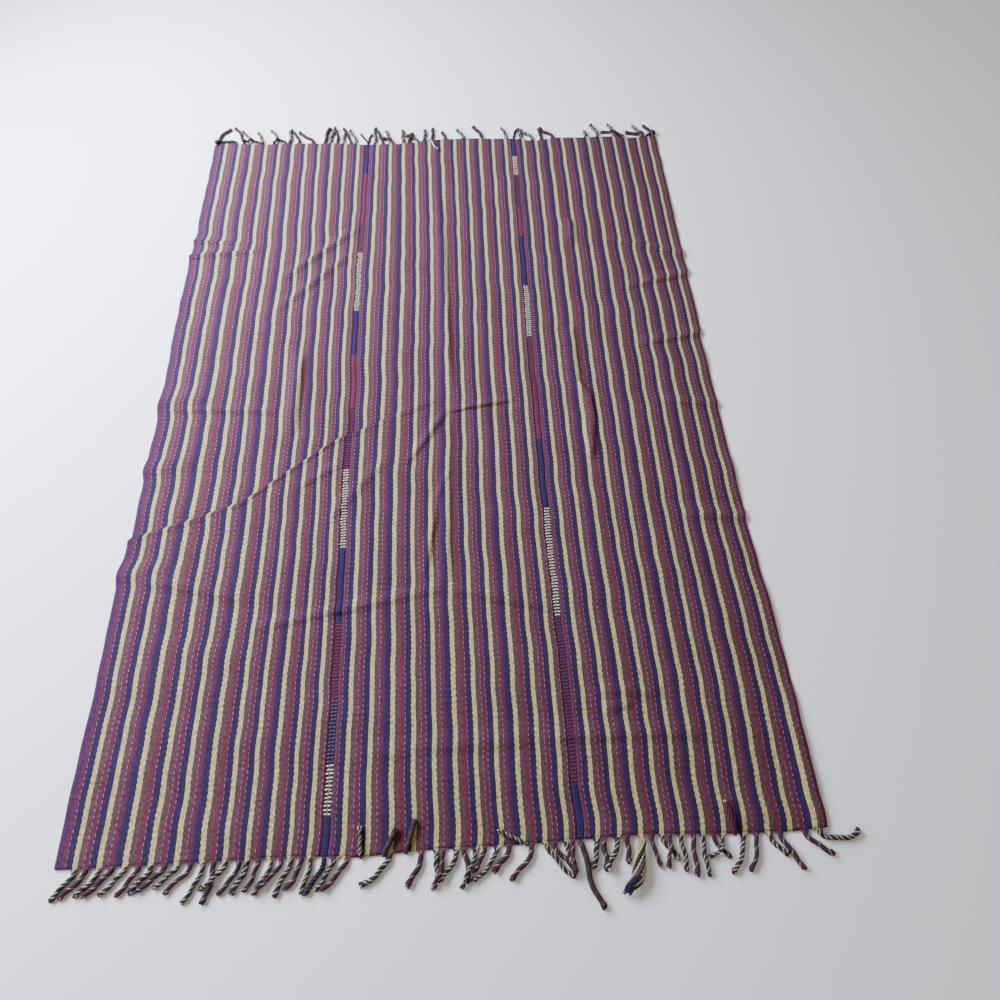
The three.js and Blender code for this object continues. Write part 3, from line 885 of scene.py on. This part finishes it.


# The seams, by blocks of stitches: the stitches' yarn, the yarn under them, whether they are combed, and
# where the block ends, from the far end of the cloth. Under white combed stitches the yarn is dark: painted
# shadow in the gaps between them
BLOCKS = {
    "left": [
        ("blue", "blue", False, 160), ("rose", "rose", False, 400), ("purple", "taupe", True, 525),
        ("white", "dark", True, 760), ("blue", "blue", False, 925), ("rose", "rose", False, 1107),
        ("navy", "plum", True, 1297), ("white", "dark", True, 1515), ("blue", "blue", False, 1697),
        ("purple", "crimson", True, 1873), ("mauve", "navy", True, 2000), ("white", "dark", True, 2100),
        ("blue", "blue", False, 2170),
    ],
    "right": [
        ("blue", "blue", False, 96), ("white", "taupe", True, 184), ("taupe", "purple", True, 342),
        ("rose", "rose", False, 475), ("blue", "blue", False, 682), ("white", "dark", True, 876),
        ("taupe", "crimson", True, 1046), ("rose", "plum", False, 1223), ("blue", "blue", False, 1429),
        ("white", "dark", True, 1709), ("taupe", "purple", True, 1873), ("rose", "purple", True, 2061),
        ("blue", "blue", False, 2170),
    ],
}
# Combed stitches reach in from both sides to a chain along the middle; a close one crosses the whole seam.
# Each has its places across, in half widths, and its rise
COMBED = [(1.0, -0.6), (0.88, 0.6), (0.55, 1.0), (0.25, 0.4), (0.08, -0.4)]
CLOSE = [(-1.0, -0.6), (-0.8, 0.5), (-0.3, 1.0), (0.3, 1.0), (0.8, 0.5), (1.0, -0.6)]
COMBED_PITCH = 7.6
CLOSE_PITCH = 2.4
# a stitch's radius and height as a share of its width, combed or close; how deep it sits in the cloth, the
# height of a whole rise, its uneven thickness and the thickness of its ends, both as shares
STITCH_RADIUS = {True: 1.5, False: 1.35}
STITCH_FLAT = {True: 0.55, False: 0.42}
STITCH_SUNK = 0.2
STITCH_RISE = 0.75
STITCH_UNEVEN = 0.1
STITCH_ENDS = 0.6
COMB_TILTS = {-1: 1.4, 1: -0.5}  # how far a combed stitch rises along the cloth, to the right, on each side
COMB_UNEVEN = 0.22  # uneven reach from stitch to stitch, as a share
COMB_STRAY = 0.5  # how far a combed stitch strays along the cloth
REACH_SEED = 3  # stitches are counted by this many, so that their reach and stray aren't drawn alike
CLOSE_TILT = 0.5
# under white stitches the chain is the white yarn darkened: painted shade where they dive into the middle
CHAIN = {"white": "olive"}  # the yarn of the chain under these stitches; it is the yarn under others
CHAIN_RADIUS = 1.9
CHAIN_FLAT = 0.4
CHAIN_SUNK = 0.3
# the places along one link, in pitches, and its thickness there, as a share
CHAIN_LINK = [(-0.6, 0.6), (-0.2, 1), (0.2, 1), (0.6, 0.6)]
GROUND_SUNK = 0.4  # the yarn under the stitches lies this far below the cloth's upper face


def block_at(name, from_top):
    return next(block for block in BLOCKS[name] if from_top <= block[3])


def stitch(pile, middle, y, shape, half, tilt, yarn, combed):
    """One stitch over a seam; a negative half width lays it on the left."""
    across, rise = np.array(shape).T
    path = lying(middle + half * across, y + tilt * np.sign(half) * across)
    path[:, 2] += THICKNESS - STITCH_SUNK + STITCH_RISE * rise
    thick = STITCH_RADIUS[combed] * (1 + STITCH_UNEVEN * uneven(y)) * np.ones(len(rise))
    thick[[0, -1]] *= STITCH_ENDS
    pile.tube(path, thick, yarn, flat=STITCH_FLAT[combed])


def seam_ground(pile, name):
    """The yarn under a seam's stitches: a strip along the cloth, in its blocks of colour."""
    middle = SEAMS[name]
    rows = panel_rows(np.array([float(middle)]))[:, 0]
    columns = middle + np.array([-BESIDE_SEAM, 0, BESIDE_SEAM])
    base = np.stack([lying(np.full_like(rows, x), rows) for x in columns], 1)
    base += (0, 0, THICKNESS - GROUND_SUNK)
    index = np.arange(base[..., 0].size).reshape(base.shape[:2])
    cells = np.stack([index[:-1, :-1], index[:-1, 1:], index[1:, 1:], index[1:, :-1]], -1).reshape(-1, 4)
    # under white combed stitches this is the dark yarn: painted shadow in the gaps between them
    under = [block_at(name, LENGTH / 2 - y)[1] for y in (rows[:-1] + rows[1:]) / 2]
    pile.add(base.reshape(-1, 3), cells.tolist(), np.repeat(under, len(columns) - 1).tolist())


def comb(pile, middle, y, yarn, chain_yarn, count):
    """A combed stitch from each side, and the link of the chain between them."""
    for side, tilt in COMB_TILTS.items():
        reach = side * SEAM_WIDTH / 2 * (1 + COMB_UNEVEN * uneven(REACH_SEED * count + side))
        stray = COMB_STRAY * uneven(count + side)
        stitch(pile, middle, y + stray, COMBED, reach, tilt, yarn, True)
    along, thick = np.array(CHAIN_LINK).T
    links = y + along * COMBED_PITCH
    chain = lying(np.full_like(links, middle), links) + (0, 0, THICKNESS - CHAIN_SUNK)
    pile.tube(chain, CHAIN_RADIUS * thick, chain_yarn, flat=CHAIN_FLAT)


def seam(name):
    pile = Pile()
    middle = SEAMS[name]
    seam_ground(pile, name)
    from_top, count = CLOSE_PITCH, 0
    while from_top < LENGTH - CLOSE_PITCH:
        yarn, ground, combed, _ = block_at(name, from_top)
        y = LENGTH / 2 - from_top
        if combed:
            comb(pile, middle, y, yarn, CHAIN.get(yarn, ground), count)
        else:
            stitch(pile, middle, y, CLOSE, SEAM_WIDTH / 2, CLOSE_TILT * (-1) ** count, yarn, False)
        from_top += COMBED_PITCH if combed else CLOSE_PITCH
        count += 1
    for end, outward in OUTWARD.items():
        for lean, turn, length, radius, kind in SEAM_TAILS[name, end]:
            path = lying_path(middle, outward, lean, turn, length, radius)
            twist(pile, path, kind, radius, TAIL_PITCH, middle + lean)
    pile.finish(f"{name}_seam", "joining_yarn", f"seam_{name}")


for panel_name in PANELS:
    panel(panel_name)
    for end_name in OUTWARD:
        fringe(end_name, panel_name)
for seam_name in SEAMS:
    seam(seam_name)


# The stage, in metres: a pale floor, a broad low window light from the left and soft light all round
FLOOR_HALF = 30
FLOOR_COLOR = (0.97, 0.97, 0.97, 1)
FLOOR_ROUGHNESS = 1.0


def floor():
    corners = [(x * FLOOR_HALF, y * FLOOR_HALF, 0) for x, y in ((-1, -1), (1, -1), (1, 1), (-1, 1))]
    mesh = bpy.data.meshes.new("floor")
    mesh.from_pydata(corners, [], [(0, 1, 2, 3)])
    paint = Shader("floor_paint").surface(Base_Color=FLOOR_COLOR, Roughness=FLOOR_ROUGHNESS)
    mesh.materials.append(paint)
    made = bpy.data.objects.new("floor", mesh)
    bpy.context.scene.collection.objects.link(made)


def looking(place, aim):
    """The turn of a light or camera at one place that looks at another."""
    return (Vector(aim) - Vector(place)).to_track_quat("-Z", "Y")


def window_light(place, aim, size, power, color):
    light = bpy.data.lights.new("window", "AREA")
    light.shape = "RECTANGLE"
    light.size, light.size_y = size
    light.energy = power
    light.color = color
    made = bpy.data.objects.new("window", light)
    made.location = place
    made.rotation_mode = "QUATERNION"
    made.rotation_quaternion = looking(place, aim)
    bpy.context.scene.collection.objects.link(made)


def room_light(color, strength):
    world = bpy.data.worlds.new("room")
    world.use_nodes = True
    background = world.node_tree.nodes["Background"]
    background.inputs["Color"].default_value = color
    background.inputs["Strength"].default_value = strength
    bpy.context.scene.world = world


floor()
window_light(
    place=(-1.8, 0.7, 1.35), aim=(-0.7, 0.1, 0), size=(3.0, 1.2), power=215, color=(0.88, 0.99, 1.2),
)
room_light(color=(1.08, 0.97, 0.87, 1), strength=0.36)

# The camera, where the photo was taken from: its place and the point of the floor that it looks at, in the
# cloth's own frame, its roll in degrees and its lens
CAMERA_PLACE = (73.77, -1165.81, 1548.16)
CAMERA_AIM = (139.89, -312.8, 0)
CAMERA_ROLL = 1.778
CAMERA_LENS = 25.74

lens = bpy.data.cameras.new("photo")
lens.lens = CAMERA_LENS
camera = bpy.data.objects.new("photo", lens)
turn = looking(CAMERA_PLACE, CAMERA_AIM) @ Quaternion((0, 0, 1), math.radians(CAMERA_ROLL))
camera.matrix_world = Matrix.LocRotScale(Vector(CAMERA_PLACE) * MM + Vector(OFFSET), turn, None)
bpy.context.scene.collection.objects.link(camera)
bpy.context.scene.camera = camera
